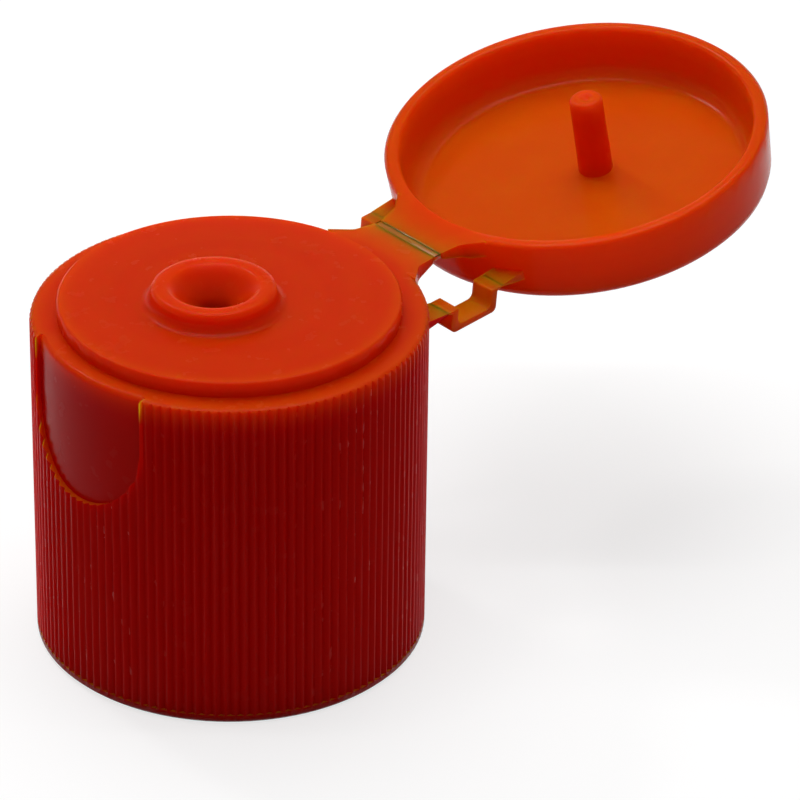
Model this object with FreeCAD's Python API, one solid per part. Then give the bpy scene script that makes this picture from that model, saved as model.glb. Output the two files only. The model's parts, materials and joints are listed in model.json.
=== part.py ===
import FreeCAD, Part
import math
import os

# Flip top cap: a screw-on closure for a bottle neck, moulded in one piece and shown open.
# The moulding is split at its living hinge, so that the lid can turn.
# Frame: +Z up, +X toward the hinge, origin at the centre of the skirt's bottom rim.
# Lengths are in millimetres and angles in degrees. The lid is drawn closed, then opened.

V = FreeCAD.Vector
UP = V(0, 0, 1)
ACROSS = V(0, 1, 0)

flat_radius = 0.3            # turned corners are rounded by flats, one for each such length of radius
run_out = 1.0                # how far a cutting shape runs past what it cuts

# Skirt and the neck that it screws on
neck_thread_radius = 9.95    # over the bottle's thread
neck_top_radius = 8.9        # above the bottle's thread
neck_bore_radius = 6.95      # inside of the bottle's mouth, which the plug ring seals
neck_clearance = 0.2         # all round the bottle's neck
skirt_wall = 1.85            # bore to the tips of the grip ribs
skirt_height = 21.75         # bottom rim to the ledge that the lid closes on
foot_round = 0.25
shoulder_round = 0.35
mouth_relief = 0.25          # the bore is wider by this at the bottom rim
mouth_depth = 1.2

# Grip ribs
rib_count = 128
rib_depth = 0.2
rib_crest = 0.1              # flat left on each rib
rib_foot = 0.6               # plain band below the ribs

# Thumb recess, a shallow U in the skirt under the lid's front edge
recess_depth = 0.38
recess_half_width = 4.95
recess_drop = 8.5            # ledge to the bottom of the U
recess_flat = 0.1            # half of the straight stretch at the bottom of the U

# Deck with its pouring spout
deck_rise = 1.0              # above the ledge
deck_wall = 1.4
deck_edge_round = 0.15
spout_offset = 1.2           # from the skirt's axis, away from the hinge
spout_rise = 1.2
spout_radius = 3.8
spout_round = 0.35
spout_fillet = 0.7
funnel_radius = 2.75
funnel_lip = 0.12
funnel_half_angle = 46.0
plug_wall = 0.8
plug_length = 2.8
plug_bevel = 0.25
plug_setback = 0.1           # from the plug ring's tip to the step at the bore's end

# Lid and its sealing pin
lid_overhang = 0.15          # the lid is wider than the skirt by this all round
lid_wall = 0.95              # at the rim
lid_height = 4.2
lid_top = 0.7
lid_draft = 0.18             # loss of outer radius from the rim to the top
lid_round = 0.8
lid_inner_round = 1.1
rim_round = 0.2
deck_clearance = 0.85        # lid wall to the deck's edge
closing_gap = 0.04           # ledge to the closed lid's rim
pin_radius = 1.1             # at its root
pin_taper = 0.05             # loss of radius from the root to the tip
pin_reach = 1.85             # below the ledge, with the lid closed
pin_round = 0.2
pin_clearance = 0.07         # pin's root to the orifice
dimple_radius = 0.5
dimple_depth = 0.25

# Living hinge
hinge_reach = 2.15           # skirt to the film's axis
open_angle = 168.25          # closed to shown
film_width = 0.5             # across the axis
film_length = 5.55
film_thickness = 0.25
film_sink = 0.06             # the film lies this far below the tabs' faces
tab_tip = 0.4                # thickness of a centre tab beside the film
tab_root = 1.1               # thickness of a centre tab at the wall
tab_flare = 0.55             # a centre tab widens by this on each side toward the wall
tab_fillet = 0.8
root_overlap = 0.4           # how deep a tab is rooted in its wall

# Spring straps, one on each side of the film
strap_inset = 2.02           # film's axis back to a strap's end
strap_drop = 1.91            # hinge plane to a strap's end
strap_inner = 4.4            # middle plane to a strap's near side
strap_width = 1.75
strap_depth = 1.58
strap_web = 0.43             # thickness of the floor of the U
strap_post = 0.52            # thickness of each leg of the U
strap_lip = 0.88             # film line to the inner side of a leg
strap_lean = 0.2             # slope of both legs toward the skirt
strap_edge_round = 0.1
strap_bend = 0.4             # round at the corners of the U
strap_film = 0.12
strap_tab_root = 0.6         # thickness of a strap's tab at the wall

# Sizes that follow
bore_radius = neck_thread_radius + neck_clearance
seat_radius = neck_top_radius + neck_clearance
mouth_radius = bore_radius + mouth_relief
skirt_radius = bore_radius + skirt_wall
lid_radius = skirt_radius + lid_overhang
deck_radius = lid_radius - lid_wall - deck_clearance
deck_z = skirt_height + deck_rise
ceiling_z = deck_z - deck_wall
plug_z = ceiling_z - plug_length
step_z = plug_z - plug_setback
spout_z = deck_z + spout_rise
orifice_radius = pin_radius + pin_clearance
rim_z = skirt_height + closing_gap
lid_top_z = rim_z + lid_height
lid_floor_z = lid_top_z - lid_top
hinge_x = skirt_radius + hinge_reach
hinge_z = skirt_height + closing_gap / 2
tab_x = hinge_x - film_width / 2
strap_x = hinge_x - strap_inset


def on_side(x, z):
    return V(x, 0, z)


def on_plan(x, y):
    return V(x, y, 0)


def flats(arc, radius):
    """Straight edges along an arc, more of them on a larger one."""
    points = arc.toShape().discretize(math.ceil(radius / flat_radius) + 1)
    return [Part.makeLine(a, b) for a, b in zip(points, points[1:])]


def outline(corners, place, in_flats=False):
    """Closed face through corners (a, b, radius), where each radius rounds its corner."""
    points = [place(a, b) for a, b, radius in corners]
    edges = []
    runs = []
    for index, (a, b, radius) in enumerate(corners):
        corner = points[index]
        back = (points[index - 1] - corner).normalize()
        ahead = (points[(index + 1) % len(points)] - corner).normalize()
        half = back.getAngle(ahead) / 2
        start = corner + back * (radius / math.tan(half))
        end = corner + ahead * (radius / math.tan(half))
        if radius:
            middle = corner + (back + ahead).normalize() * (radius / math.sin(half) - radius)
            arc = Part.Arc(start, middle, end)
            edges.extend(flats(arc, radius) if in_flats else [arc.toShape()])
        runs.append((start, end))
    for index, (start, end) in enumerate(runs):
        before = runs[index - 1][1]
        if before.distanceToPoint(start) > 1e-6:
            edges.append(Part.makeLine(before, start))
    return Part.Face(Part.Wire(Part.__sortEdges__(edges)))


def turned(corners, axis_x=0):
    """Solid of revolution about the upright axis at axis_x, from corners (radius, z, round)."""
    face = outline([(axis_x + a, z, r) for a, z, r in corners], on_side, in_flats=True)
    return face.revolve(on_side(axis_x, 0), UP, 360)


def across(corners, low_y, high_y):
    """Side profile of corners (x, z, round), extruded from low_y to high_y."""
    face = outline(corners, on_side)
    face.translate(V(0, low_y, 0))
    return face.extrude(V(0, high_y - low_y, 0))


def mirrored(shape):
    return shape.mirror(V(0, 0, 0), ACROSS)


def opened(point):
    """Where a point of the closed lid lies once the lid is open."""
    turn = FreeCAD.Rotation(ACROSS, open_angle)
    pivot = on_side(hinge_x, hinge_z)
    return pivot + turn.multVec(point - pivot)


def bevelled_ring(shape, axis_x, radius, z, size):
    """Bevel the circular edge of that radius and height about the upright axis at axis_x."""
    centre = on_side(axis_x, z)
    ring = [
        edge for edge in shape.Edges
        if isinstance(edge.Curve, Part.Circle)
        and abs(edge.Curve.Radius - radius) < 1e-4
        and edge.Curve.Center.distanceToPoint(centre) < 1e-4
    ]
    return shape.makeChamfer(size, ring)


def skirt_shell():
    """Skirt, ledge and deck in one turned section, with the plug ring below the deck."""
    plug_inner = neck_bore_radius - plug_wall
    return turned([
        (mouth_radius, 0, 0),
        (skirt_radius, 0, foot_round),
        (skirt_radius, skirt_height, shoulder_round),
        (deck_radius, skirt_height, 0),
        (deck_radius, deck_z, deck_edge_round),
        (0, deck_z, 0),
        (0, ceiling_z, 0),
        (plug_inner, ceiling_z, 0),
        (plug_inner, plug_z, plug_bevel),
        (neck_bore_radius, plug_z, plug_bevel),
        (neck_bore_radius, ceiling_z, 0),
        (seat_radius, ceiling_z, 0),
        (seat_radius, step_z, 0),
        (bore_radius, step_z, 0),
        (bore_radius, mouth_depth, 0),
        (mouth_radius, mouth_depth, 0),
    ])


def rib_grooves():
    """V grooves all round the skirt, which leave the grip ribs between them."""
    flank = math.pi / rib_count - rib_crest / (2 * skirt_radius)
    root = V(skirt_radius - rib_depth, 0, 0)
    crest = V(skirt_radius * math.cos(flank), skirt_radius * math.sin(flank), 0)
    outer = root + (crest - root) * (1 + run_out / rib_depth)
    groove_face = outline([(root.x, 0, 0), (outer.x, outer.y, 0), (outer.x, -outer.y, 0)], on_plan)
    groove_face.translate(V(0, 0, rib_foot))
    groove = groove_face.extrude(UP * skirt_height)
    grooves = []
    for index in range(rib_count):
        copy = groove.copy()
        copy.rotate(V(0, 0, 0), UP, 360 * index / rib_count)
        grooves.append(copy)
    return grooves


def thumb_recess():
    """What is cut from the skirt: a U-shaped plate, hollowed to follow the skirt's curve."""
    floor_radius = skirt_radius - recess_depth
    core = turned([
        (0, 0, 0),
        (floor_radius, 0, 0),
        (floor_radius, skirt_height, shoulder_round),
        (0, skirt_height, 0),
    ])
    low_z = skirt_height - recess_drop
    high_z = skirt_height + run_out
    bend = recess_half_width - recess_flat
    plate = outline([
        (-recess_half_width, high_z, 0),
        (-recess_half_width, low_z, bend),
        (recess_half_width, low_z, bend),
        (recess_half_width, high_z, 0),
    ], lambda y, z: V(deck_radius, y, z))
    plate = plate.extrude(V(skirt_radius, 0, 0))
    plate.rotate(V(0, 0, 0), UP, 180)
    return plate.cut(core)


def spout():
    """Rounded boss on the deck that the funnel is sunk in."""
    foot_radius = spout_radius + 1.5 * spout_fillet
    foot_z = deck_z - deck_wall / 2
    return turned([
        (0, foot_z, 0),
        (foot_radius, foot_z, 0),
        (foot_radius, deck_z, 0),
        (spout_radius, deck_z, spout_fillet),
        (spout_radius, spout_z, spout_round),
        (0, spout_z, 0),
    ], -spout_offset)


def funnel():
    """What is cut from the spout: a cone down to the orifice, and the orifice itself."""
    above_z = spout_z + run_out
    above_radius = funnel_radius + run_out * math.tan(math.radians(funnel_half_angle))
    slope = (funnel_radius - orifice_radius) / math.tan(math.radians(funnel_half_angle))
    return turned([
        (0, ceiling_z - run_out, 0),
        (orifice_radius, ceiling_z - run_out, 0),
        (orifice_radius, spout_z - slope, 0),
        (above_radius, above_z, 0),
        (0, above_z, 0),
    ], -spout_offset)


def centre_tab(wall_radius, face_z, side):
    """Tab that carries one edge of the film. side is -1 under the hinge plane, +1 above it."""
    half = film_length / 2
    start_x = wall_radius - 2 * root_overlap
    plan = outline([
        (tab_x, half, rim_round),
        (wall_radius + root_overlap, half + tab_flare / 2, tab_fillet),
        (start_x, half + tab_flare + tab_fillet, 0),
        (start_x, -half - tab_flare - tab_fillet, 0),
        (wall_radius + root_overlap, -half - tab_flare / 2, tab_fillet),
        (tab_x, -half, rim_round),
    ], on_plan)
    plan.translate(V(0, 0, face_z - tab_root))
    block = plan.extrude(UP * (2 * tab_root))
    wedge = across([
        (tab_x, face_z, 0),
        (tab_x, face_z + side * tab_tip, 0),
        (wall_radius, face_z + side * tab_root, 0),
        (start_x - run_out, face_z + side * tab_root, 0),
        (start_x - run_out, face_z, 0),
    ], -film_length, film_length)
    return block.common(wedge).cut(root_cylinder(wall_radius))


def strap_tab(wall_radius, face_z, side):
    """Wedge that carries one end of the right-hand strap (y above 0)."""
    outer_y = strap_inner + strap_width
    wall_x = math.sqrt(wall_radius ** 2 - outer_y ** 2)
    start_x = wall_x / 2
    wedge = across([
        (strap_x, face_z, 0),
        (strap_x, face_z + side * strap_film, 0),
        (wall_x, face_z + side * strap_tab_root, 0),
        (start_x, face_z + side * strap_tab_root, 0),
        (start_x, face_z, 0),
    ], strap_inner, outer_y)
    return wedge.cut(root_cylinder(wall_radius))


def root_cylinder(wall_radius):
    return Part.makeCylinder(wall_radius - root_overlap, 2 * lid_top_z, V(0, 0, -1))


def cap_base():
    body = skirt_shell().cut(Part.makeCompound(rib_grooves()))
    body = body.cut(thumb_recess())
    body = body.fuse(spout()).cut(funnel())
    body = bevelled_ring(body, -spout_offset, funnel_radius, spout_z, funnel_lip)
    side_tab = strap_tab(skirt_radius, hinge_z - strap_drop, -1)
    tabs = [centre_tab(skirt_radius, skirt_height, -1), side_tab, mirrored(side_tab)]
    return body.fuse(tabs).removeSplitter()


def sealing_pin():
    """Tapered pin that plugs the orifice, with a dimple in its tip."""
    tip_z = skirt_height - pin_reach
    root_z = lid_floor_z + lid_top / 2
    tip_radius = pin_radius - pin_taper
    return turned([
        (0, root_z, 0),
        (pin_radius, root_z, 0),
        (tip_radius, tip_z, pin_round),
        (dimple_radius, tip_z, 0),
        (0, tip_z + dimple_depth, 0),
    ], -spout_offset)


def flip_lid():
    """Dish with the sealing pin and its own halves of the hinge tabs."""
    dish = turned([
        (lid_radius, rim_z, rim_round),
        (lid_radius - lid_draft, lid_top_z, lid_round),
        (0, lid_top_z, 0),
        (0, lid_floor_z, 0),
        (lid_radius - lid_draft - lid_wall, lid_floor_z, lid_inner_round),
        (lid_radius - lid_wall, rim_z, rim_round),
    ])
    side_tab = strap_tab(lid_radius, hinge_z + strap_drop, 1)
    tabs = [centre_tab(lid_radius, rim_z, 1), side_tab, mirrored(side_tab)]
    lid = dish.fuse([sealing_pin()] + tabs).removeSplitter()
    lid.rotate(on_side(hinge_x, hinge_z), ACROSS, open_angle)
    return lid


def hinge_film():
    """Thin web between the two centre tabs, which the lid swings on."""
    near_z = skirt_height - film_sink
    far_z = rim_z + film_sink
    far_top = opened(on_side(tab_x, far_z))
    far_foot = opened(on_side(tab_x, far_z + film_thickness))
    return across([
        (tab_x, near_z, 0),
        (far_top.x, far_top.z, 0),
        (far_foot.x, far_foot.z, 0),
        (tab_x, near_z - film_thickness, 0),
    ], -film_length / 2, film_length / 2)


def right_strap():
    """U-shaped spring strap, hung by a thin line from a tab on the skirt and one on the lid."""
    near = on_side(strap_x, hinge_z - strap_drop)
    near_foot = near - UP * strap_film
    far = opened(on_side(strap_x, hinge_z + strap_drop))
    far_foot = opened(on_side(strap_x, hinge_z + strap_drop + strap_film))
    chord = far - near
    along = V(chord).normalize()
    down = along.cross(ACROSS).normalize()
    if down.z > 0:
        down = -down

    def placed(distance, depth, size):
        point = near + along * (distance - strap_lean * depth) + down * depth
        return point.x, point.z, size

    length = chord.Length
    inner_depth = strap_depth - strap_web
    notch = strap_lip - strap_post
    return across([
        (near.x, near.z, 0),
        placed(strap_lip, 0, strap_edge_round),
        placed(strap_lip, inner_depth, strap_bend),
        placed(length - strap_lip, inner_depth, strap_bend),
        placed(length - strap_lip, 0, strap_edge_round),
        (far.x, far.z, 0),
        (far_foot.x, far_foot.z, 0),
        placed(length - notch, 2 * strap_film, 0),
        placed(length - notch, strap_depth, strap_bend),
        placed(notch, strap_depth, strap_bend),
        placed(notch, 2 * strap_film, 0),
        (near_foot.x, near_foot.z, 0),
    ], strap_inner, strap_inner + strap_width)


def main():
    os.makedirs("parts", exist_ok=True)
    strap = right_strap()
    nodes = {
        "cap_base": cap_base(),
        "flip_lid": flip_lid(),
        "hinge_film": hinge_film(),
        "right_strap": strap,
        "left_strap": mirrored(strap),
    }
    for name, shape in nodes.items():
        shape.exportStep("parts/" + name + ".step")
        print(name, "valid", shape.isValid(), "solids", len(shape.Solids), "volume", round(shape.Volume, 3))


main()
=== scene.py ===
"""Looks of a flip top cap of translucent orange polypropylene, shown open.

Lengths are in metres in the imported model's frame: +Z up, the hinge toward +X, and the
thumb recess toward -X. MM turns a size given in millimetres into metres.
"""

import json
import math

import bmesh
import bpy
from mathutils import Matrix, Quaternion, Vector


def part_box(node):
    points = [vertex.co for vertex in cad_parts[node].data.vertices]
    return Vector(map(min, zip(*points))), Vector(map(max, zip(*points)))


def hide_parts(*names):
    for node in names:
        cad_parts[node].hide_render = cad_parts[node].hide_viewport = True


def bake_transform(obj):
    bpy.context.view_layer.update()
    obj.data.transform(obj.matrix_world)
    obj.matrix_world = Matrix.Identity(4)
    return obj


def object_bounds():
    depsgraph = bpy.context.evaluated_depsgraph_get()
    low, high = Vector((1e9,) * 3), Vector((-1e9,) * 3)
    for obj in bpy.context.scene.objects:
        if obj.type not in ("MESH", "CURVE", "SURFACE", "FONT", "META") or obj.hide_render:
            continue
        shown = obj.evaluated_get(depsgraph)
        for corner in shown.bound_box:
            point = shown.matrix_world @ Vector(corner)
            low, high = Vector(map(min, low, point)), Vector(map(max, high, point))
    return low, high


MM = 0.001

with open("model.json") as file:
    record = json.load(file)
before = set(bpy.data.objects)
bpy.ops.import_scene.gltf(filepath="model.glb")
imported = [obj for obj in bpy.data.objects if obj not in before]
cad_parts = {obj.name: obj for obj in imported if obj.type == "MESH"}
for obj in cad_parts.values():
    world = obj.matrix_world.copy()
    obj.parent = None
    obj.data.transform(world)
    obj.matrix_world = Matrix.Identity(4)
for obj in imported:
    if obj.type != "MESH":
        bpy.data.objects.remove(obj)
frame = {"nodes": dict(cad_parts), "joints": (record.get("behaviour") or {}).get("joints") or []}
cad_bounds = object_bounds()
nodes = frame["nodes"]
hinge = frame["joints"][0]
pivot = Vector(hinge["pos_m"])
centre = (Vector(cad_bounds[0]) + Vector(cad_bounds[1])) / 2

UP = Vector((0, 0, 1))
OPEN_TURN = Quaternion(hinge["axis"], -math.radians(hinge["range_deg"][0]))


def on_side(x, z):
    return Vector((x, 0, z))


def opened(point):
    """Where a point of the closed lid lies once the lid is open."""
    return pivot + OPEN_TURN @ (point - pivot)


# ---------------------------------------------------------------- material

# Colour of the plastic by how much of it lies behind the surface, from a thin web to a thick wall.
DEPTH_COLOURS = [
    (0.0, (0.72, 0.13, 0.002)),
    (0.25, (0.68, 0.062, 0.0008)),
    (0.55, (0.66, 0.05, 0.0004)),
    (0.9, (0.6, 0.022, 0.0001)),
]
DEPTH_REACH = 1.5 * MM
GLOW_REACH = 5 * MM

# Painted shade: upright walls of the skirt, which face away from the light, turn deep red over this much
# height below the ledge.
SHADE_PAINTED_RED = (0.56, 0.0006, 0.0)
SHADE_PAINTED_FADE = 1.6 * MM


def linked(tree, kind, **inputs):
    """A new node, each of whose named inputs is set to a value or joined to an output."""
    node = tree.nodes.new(kind)
    for name, value in inputs.items():
        socket = node.inputs[int(name[1:]) if name[0] == "_" else name.replace("_", " ")]
        if isinstance(value, bpy.types.NodeSocket):
            tree.links.new(value, socket)
        else:
            socket.default_value = value
    return node


def math_node(tree, operation, *values):
    node = linked(tree, "ShaderNodeMath", **{f"_{index}": value for index, value in enumerate(values)})
    node.operation = operation
    return node.outputs[0]


def colour_by_depth(tree, place):
    """Yellow-orange where the plastic is thin and orange where it is thick, a little uneven."""
    depth = linked(tree, "ShaderNodeAmbientOcclusion", Distance=DEPTH_REACH)
    depth.inside = True
    depth.only_local = True
    depth.samples = 16
    flow = linked(tree, "ShaderNodeTexNoise", Vector=place, Scale=260, Detail=3, Roughness=0.6)
    drift = math_node(tree, "MULTIPLY_ADD", flow.outputs["Fac"], 0.16, -0.08)
    uneven = math_node(tree, "ADD", depth.outputs["AO"], drift)
    ramp = linked(tree, "ShaderNodeValToRGB", Fac=uneven)
    stops = ramp.color_ramp.elements
    for index, (position, colour) in enumerate(DEPTH_COLOURS):
        stop = stops[index] if index < 2 else stops.new(position)
        stop.position = position
        stop.color = (*colour, 1)
    return ramp.outputs["Color"]


def painted_wall_shade(tree, place, colour, painted_shade_top):
    """The colour, but with painted shade: deep red on upright walls from a little below the given top
    height.
    """
    normal = linked(
        tree, "ShaderNodeSeparateXYZ", Vector=tree.nodes.new("ShaderNodeTexCoord").outputs["Normal"]
    )
    height = linked(tree, "ShaderNodeSeparateXYZ", Vector=place)
    upright = linked(
        tree, "ShaderNodeMapRange", Value=normal.outputs["Z"], From_Min=0.8, From_Max=0.05
    )
    below = linked(
        tree, "ShaderNodeMapRange",
        Value=height.outputs["Z"], From_Min=painted_shade_top, From_Max=painted_shade_top - SHADE_PAINTED_FADE, To_Min=0.35,
    )
    # How much painted shade falls: on upright faces, fully so below the top height and partly above it.
    painted_shade = math_node(tree, "MULTIPLY", upright.outputs[0], below.outputs[0])
    mix = tree.nodes.new("ShaderNodeMix")
    mix.data_type = "RGBA"
    tree.links.new(painted_shade, mix.inputs["Factor"])
    tree.links.new(colour, mix.inputs["A"])
    mix.inputs["B"].default_value = (*SHADE_PAINTED_RED, 1)
    return mix.outputs["Result"]


def polypropylene(name, roughness, grain_height, gloss=0.04, painted_shade_top=None):
    """Moulded polypropylene. Given a top height, its upright walls below that height get painted shade in
    deep red.
    """
    material = bpy.data.materials.new(name)
    material.use_nodes = True
    tree = material.node_tree
    shader = tree.nodes["Principled BSDF"]
    shader.inputs["IOR"].default_value = 1.49
    shader.inputs["Specular IOR Level"].default_value = gloss
    shader.inputs["Subsurface Weight"].default_value = 1.0
    shader.inputs["Subsurface Radius"].default_value = (1.0, 0.1, 0.03)
    shader.inputs["Subsurface Scale"].default_value = GLOW_REACH

    place = tree.nodes.new("ShaderNodeTexCoord").outputs["Object"]
    colour = colour_by_depth(tree, place)
    # Painted shade: deep red on upright walls, standing in for the shade that the light leaves there.
    if painted_shade_top is not None:
        colour = painted_wall_shade(tree, place, colour, painted_shade_top)
    tree.links.new(colour, shader.inputs["Base Color"])

    grain = linked(tree, "ShaderNodeTexNoise", Vector=place, Scale=3500, Detail=4)
    bump = linked(tree, "ShaderNodeBump", Strength=0.15, Distance=grain_height, Height=grain.outputs["Fac"])
    tree.links.new(bump.outputs["Normal"], shader.inputs["Normal"])
    patches = linked(tree, "ShaderNodeTexNoise", Vector=place, Scale=900, Detail=3)
    worn = linked(
        tree, "ShaderNodeMapRange", Value=patches.outputs["Fac"],
        From_Min=0.3, From_Max=0.7, To_Min=roughness - 0.02, To_Max=roughness + 0.02,
    )
    tree.links.new(worn.outputs[0], shader.inputs["Roughness"])
    return material


# The body's upright walls under the hinge's height get painted shade in deep red.
body_plastic = polypropylene("body_plastic", 0.26, 0.02 * MM, painted_shade_top=pivot.z)
lid_plastic = polypropylene("lid_plastic", 0.18, 0.01 * MM)
film_plastic = polypropylene("film_plastic", 0.14, 0.004 * MM, gloss=0.4)


# ---------------------------------------------------------------- CAD nodes


def dress(node, material):
    """Give a CAD node its material and smooth shading, which leaves its flat faces flat."""
    shape = nodes[node]
    shape.data.materials.clear()
    shape.data.materials.append(material)
    for polygon in shape.data.polygons:
        polygon.use_smooth = True
    weld = shape.modifiers.new("weld", "WELD")
    weld.merge_threshold = 0.002 * MM
    split = shape.modifiers.new("split", "EDGE_SPLIT")
    split.split_angle = math.radians(50)
    faces_first = shape.modifiers.new("faces_first", "WEIGHTED_NORMAL")
    faces_first.weight = 100


dress("cap_base", body_plastic)
dress("flip_lid", lid_plastic)


# ---------------------------------------------------------------- shapes in code


def rounded(corners, step=0.06 * MM):
    """Points of a closed outline through corners (point, radius), with every radius as an arc."""
    points = []
    for index, (corner, radius) in enumerate(corners):
        if not radius:
            points.append(corner)
            continue
        back = (corners[index - 1][0] - corner).normalized()
        ahead = (corners[(index + 1) % len(corners)][0] - corner).normalized()
        half = back.angle(ahead) / 2
        arc_centre = corner + (back + ahead).normalized() * (radius / math.sin(half))
        start = corner + back * (radius / math.tan(half)) - arc_centre
        end = corner + ahead * (radius / math.tan(half)) - arc_centre
        turn = start.rotation_difference(end)
        count = max(3, math.ceil(radius * turn.angle / step))
        for number in range(count + 1):
            points.append(arc_centre + Quaternion(turn.axis, turn.angle * number / count) @ start)
    return points


def divided(points, step):
    """The closed outline with no run longer than step."""
    result = []
    for index, point in enumerate(points):
        following = points[(index + 1) % len(points)]
        count = max(1, math.ceil((following - point).length / step))
        result.extend(point.lerp(following, number / count) for number in range(count))
    return result


def add_piece(name, mesh, material):
    """Make an object of the bmesh, smooth except at its sharp edges."""
    bmesh.ops.recalc_face_normals(mesh, faces=mesh.faces)
    for face in mesh.faces:
        face.smooth = True
    for edge in mesh.edges:
        edge.smooth = edge.calc_face_angle(0) < math.radians(40)
    data = bpy.data.meshes.new(name)
    mesh.to_mesh(data)
    mesh.free()
    data.materials.append(material)
    piece = bpy.data.objects.new(name, data)
    bpy.context.scene.collection.objects.link(piece)
    return piece


def inset(points, distance):
    """The closed outline in the XZ plane, moved inward by a short distance."""
    area = sum(a.x * b.z - b.x * a.z for a, b in zip(points, points[1:] + points[:1]))
    turn = math.copysign(1, area)
    moved = []
    for index, point in enumerate(points):
        run = (points[(index + 1) % len(points)] - points[index - 1]).normalized()
        moved.append(point + on_side(-run.z, run.x) * (turn * distance))
    return moved


def extruded(points, low_y, high_y, bevel):
    """The outline in the XZ plane, drawn out along Y, with its two ends' edges rounded."""
    layers = [(low_y, bevel), (low_y + 0.3 * bevel, 0.3 * bevel), (low_y + bevel, 0)]
    layers += [(high_y - bevel, 0), (high_y - 0.3 * bevel, 0.3 * bevel), (high_y, bevel)]
    mesh = bmesh.new()
    rings = []
    for y, distance in layers:
        outline = inset(points, distance)
        rings.append([mesh.verts.new((point.x, y, point.z)) for point in outline])
    for ring, following in zip(rings, rings[1:]):
        for index in range(len(points)):
            ahead = (index + 1) % len(points)
            mesh.faces.new((ring[index], following[index], following[ahead], ring[ahead]))
    mesh.faces.new(rings[0])
    mesh.faces.new(reversed(rings[-1]))
    return mesh


# ---------------------------------------------------------------- living hinge

FILM_SINK = 0.08 * MM
FILM_THICKNESS = 0.25 * MM
FILM_ARCH = 0.035 * MM
LIP_ROUND = 0.06 * MM


def hinge_film():
    """The web between the tabs: a low arch in its middle, and a rounded lip on each tab's edge."""
    low, high = map(Vector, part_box("hinge_film"))
    tab_gap = pivot.x - low.x
    near = pivot + on_side(-tab_gap, -FILM_SINK)
    far = opened(pivot + on_side(-tab_gap, FILM_SINK))
    along = (far - near).normalized()
    rise = along.cross(Vector(hinge["axis"]))
    if rise.z < 0:
        rise = -rise
    length = (far - near).length
    top = []
    count = 40
    for number in range(count + 1):
        part = number / count
        reach = min(part, 1 - part) * length
        lip = FILM_SINK * 0.9 * math.sqrt(max(0.0, 1 - (reach / LIP_ROUND) ** 2)) if reach < LIP_ROUND else 0
        arch = FILM_ARCH * math.sin(math.pi * part) ** 2
        top.append(near + along * (part * length) + rise * (lip + arch))
    foot = [near.lerp(far, part) - rise * FILM_THICKNESS for part in (1.0, 0.8, 0.6, 0.4, 0.2, 0.0)]
    film = add_piece("living_hinge", extruded(top + foot, low.y, high.y, 0.02 * MM), film_plastic)
    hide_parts("hinge_film")
    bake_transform(film)


STRAP_INSET = 2.02 * MM
STRAP_DROP = 1.91 * MM
STRAP_DEPTH = 1.58 * MM
STRAP_WEB = 0.43 * MM
STRAP_POST = 0.52 * MM
STRAP_LIP = 0.88 * MM
STRAP_LEAN = 0.2
STRAP_EDGE = 0.1 * MM
STRAP_BEND = 0.4 * MM
STRAP_FILM = 0.12 * MM


def strap_outline():
    """Side view of a U-shaped strap, hung by thin lines from a tab on the skirt and one on the lid."""
    near = pivot + on_side(-STRAP_INSET, -STRAP_DROP)
    far = opened(pivot + on_side(-STRAP_INSET, STRAP_DROP))
    far_foot = opened(pivot + on_side(-STRAP_INSET, STRAP_DROP + STRAP_FILM))
    along = (far - near).normalized()
    down = along.cross(Vector(hinge["axis"]))
    if down.z > 0:
        down = -down
    length = (far - near).length
    inner_depth = STRAP_DEPTH - STRAP_WEB
    notch = STRAP_LIP - STRAP_POST

    def placed(distance, depth):
        return near + along * (distance - STRAP_LEAN * depth) + down * depth

    corners = [
        (near, 0),
        (placed(STRAP_LIP, 0), STRAP_EDGE),
        (placed(STRAP_LIP, inner_depth), STRAP_BEND),
        (placed(length - STRAP_LIP, inner_depth), STRAP_BEND),
        (placed(length - STRAP_LIP, 0), STRAP_EDGE),
        (far, 0),
        (far_foot, 0),
        (placed(length - notch, 2 * STRAP_FILM), STRAP_EDGE),
        (placed(length - notch, STRAP_DEPTH), STRAP_BEND),
        (placed(notch, STRAP_DEPTH), STRAP_BEND),
        (placed(notch, 2 * STRAP_FILM), STRAP_EDGE),
        (near - UP * STRAP_FILM, 0),
    ]
    return near, far, divided(rounded(corners), 0.15 * MM)


def spring_straps():
    near, far, points = strap_outline()
    for node in ("left_strap", "right_strap"):
        low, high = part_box(node)
        mesh = extruded(points, low[1], high[1], 0.05 * MM)
        strap = add_piece("spring_" + node, mesh, lid_plastic)
        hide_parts(node)
        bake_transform(strap)


hinge_film()
spring_straps()


# ---------------------------------------------------------------- floor, light and camera

HORIZON_WHITE = math.sin(math.radians(6))
HORIZON_END = math.sin(math.radians(14))
STUDIO_LEVEL = 0.3
FLOOR_BOUNCE = 0.35
FLOOR_WHITE = 0.7

CAMERA_AZIMUTH = math.radians(-41.267)
CAMERA_ELEVATION = math.radians(30.285)
CAMERA_ROLL = math.radians(0.796)
CAMERA_DISTANCE = 324.18 * MM
CAMERA_AIM = Vector((-1.24, -0.81, -2.46)) * MM
CAMERA_LENS = 234.07


def background_rays(tree):
    """1 for the rays that should find a white background: the camera's, gloss and transmission."""
    path = tree.nodes.new("ShaderNodeLightPath")
    sight = linked(
        tree, "ShaderNodeMath", _0=path.outputs["Is Camera Ray"], _1=path.outputs["Is Glossy Ray"]
    )
    sight.operation = "MAXIMUM"
    seen = linked(tree, "ShaderNodeMath", _0=sight.outputs[0], _1=path.outputs["Is Transmission Ray"])
    seen.operation = "MAXIMUM"
    return seen.outputs[0]


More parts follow.
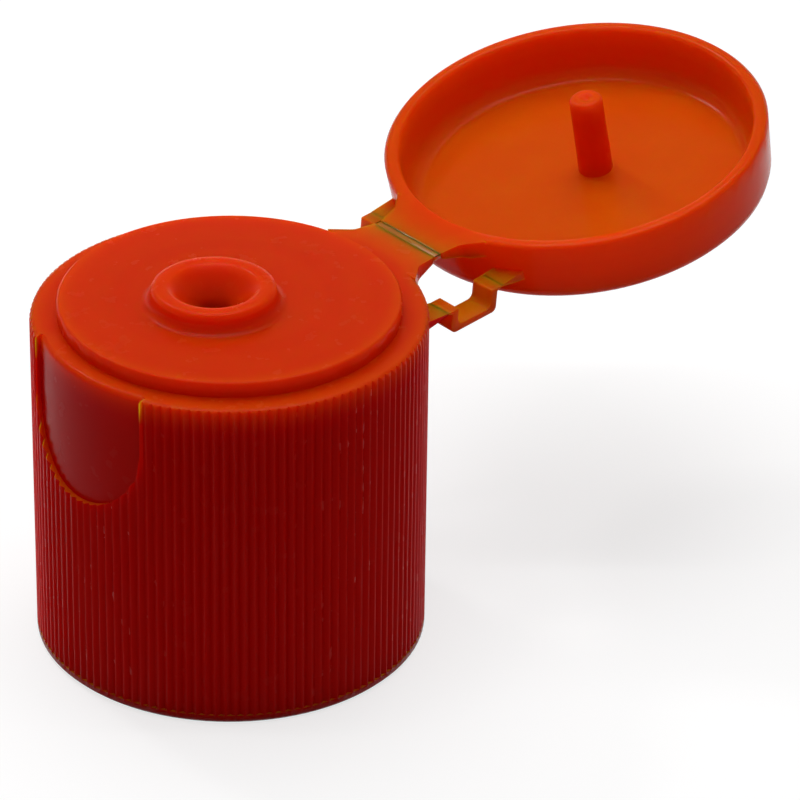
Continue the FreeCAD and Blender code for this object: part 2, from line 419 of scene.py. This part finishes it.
def world_light():
    """A soft grey studio, with a white backdrop round the horizon."""
    world = bpy.data.worlds.new("studio")
    bpy.context.scene.world = world
    world.use_nodes = True
    tree = world.node_tree
    studio = tree.nodes["Background"]
    studio.inputs["Color"].default_value = (1, 1, 1, 1)
    studio.inputs["Strength"].default_value = STUDIO_LEVEL
    white = linked(tree, "ShaderNodeBackground", Color=(1, 1, 1, 1), Strength=1)
    direction = linked(
        tree, "ShaderNodeSeparateXYZ", Vector=tree.nodes.new("ShaderNodeTexCoord").outputs["Generated"]
    )
    low = linked(
        tree, "ShaderNodeMapRange",
        Value=direction.outputs["Z"], From_Min=HORIZON_WHITE, From_Max=HORIZON_END, To_Min=1, To_Max=0,
    )
    backdrop = linked(tree, "ShaderNodeMath", _0=low.outputs[0], _1=background_rays(tree))
    backdrop.operation = "MULTIPLY"
    mix = linked(
        tree, "ShaderNodeMixShader", _0=backdrop.outputs[0], _1=studio.outputs[0], _2=white.outputs[0]
    )
    tree.links.new(mix.outputs[0], tree.nodes["World Output"].inputs["Surface"])


def softbox(name, offset, width, depth, power):
    """Rectangular lamp that faces the object, with its width across the camera's view."""
    light = bpy.data.lights.new(name, "AREA")
    light.shape = "RECTANGLE"
    light.size = width
    light.size_y = depth
    light.energy = power
    lamp = bpy.data.objects.new(name, light)
    bpy.context.scene.collection.objects.link(lamp)
    across = Vector((math.cos(CAMERA_AZIMUTH), math.sin(CAMERA_AZIMUTH), 0))
    out = Vector(offset).normalized()
    forward = out.cross(across).normalized()
    axes = Matrix((forward.cross(out), forward, out)).transposed()
    lamp.matrix_world = Matrix.LocRotScale(centre + Vector(offset), axes.to_quaternion(), None)


def floor():
    """White where the camera or gloss sees it, but a quiet grey for the light that it throws back."""
    mesh = bmesh.new()
    bmesh.ops.create_grid(mesh, x_segments=1, y_segments=1, size=3)
    data = bpy.data.meshes.new("floor")
    mesh.to_mesh(data)
    mesh.free()
    plane = bpy.data.objects.new("floor", data)
    bpy.context.scene.collection.objects.link(plane)
    plane.location.z = cad_bounds[0][2]
    material = bpy.data.materials.new("floor_white")
    material.use_nodes = True
    tree = material.node_tree
    shader = tree.nodes["Principled BSDF"]
    shader.inputs["Base Color"].default_value = (FLOOR_BOUNCE, FLOOR_BOUNCE, FLOOR_BOUNCE, 1)
    shader.inputs["Roughness"].default_value = 0.8
    shader.inputs["Specular IOR Level"].default_value = 0.0
    shader.inputs["Emission Color"].default_value = (1, 1, 1, 1)
    glow = linked(tree, "ShaderNodeMath", _0=background_rays(tree), _1=FLOOR_WHITE)
    glow.operation = "MULTIPLY"
    tree.links.new(glow.outputs[0], shader.inputs["Emission Strength"])
    data.materials.append(material)


def add_camera():
    out = Vector((
        math.sin(CAMERA_AZIMUTH) * math.cos(CAMERA_ELEVATION),
        -math.cos(CAMERA_AZIMUTH) * math.cos(CAMERA_ELEVATION),
        math.sin(CAMERA_ELEVATION),
    ))
    data = bpy.data.cameras.new("camera")
    data.sensor_width = 36
    data.lens = CAMERA_LENS
    data.clip_start = 0.01
    data.clip_end = 20
    camera = bpy.data.objects.new("camera", data)
    bpy.context.scene.collection.objects.link(camera)
    turn = (-out).to_track_quat("-Z", "Y") @ Quaternion((0, 0, 1), CAMERA_ROLL)
    place = centre + CAMERA_AIM + out * CAMERA_DISTANCE
    camera.matrix_world = Matrix.LocRotScale(place, turn, None)
    bpy.context.scene.camera = camera


world_light()
softbox("key", (0.05, 0.1, 0.4), 0.3, 0.3, 0.85)
softbox("overhead", (0, 0, 0.4), 0.3, 0.015, 0.25)
softbox("back", (-0.02, 0.27, 0.3), 0.05, 0.05, 0.22)
floor()
add_camera()
bpy.context.scene.view_settings.view_transform = "Standard"
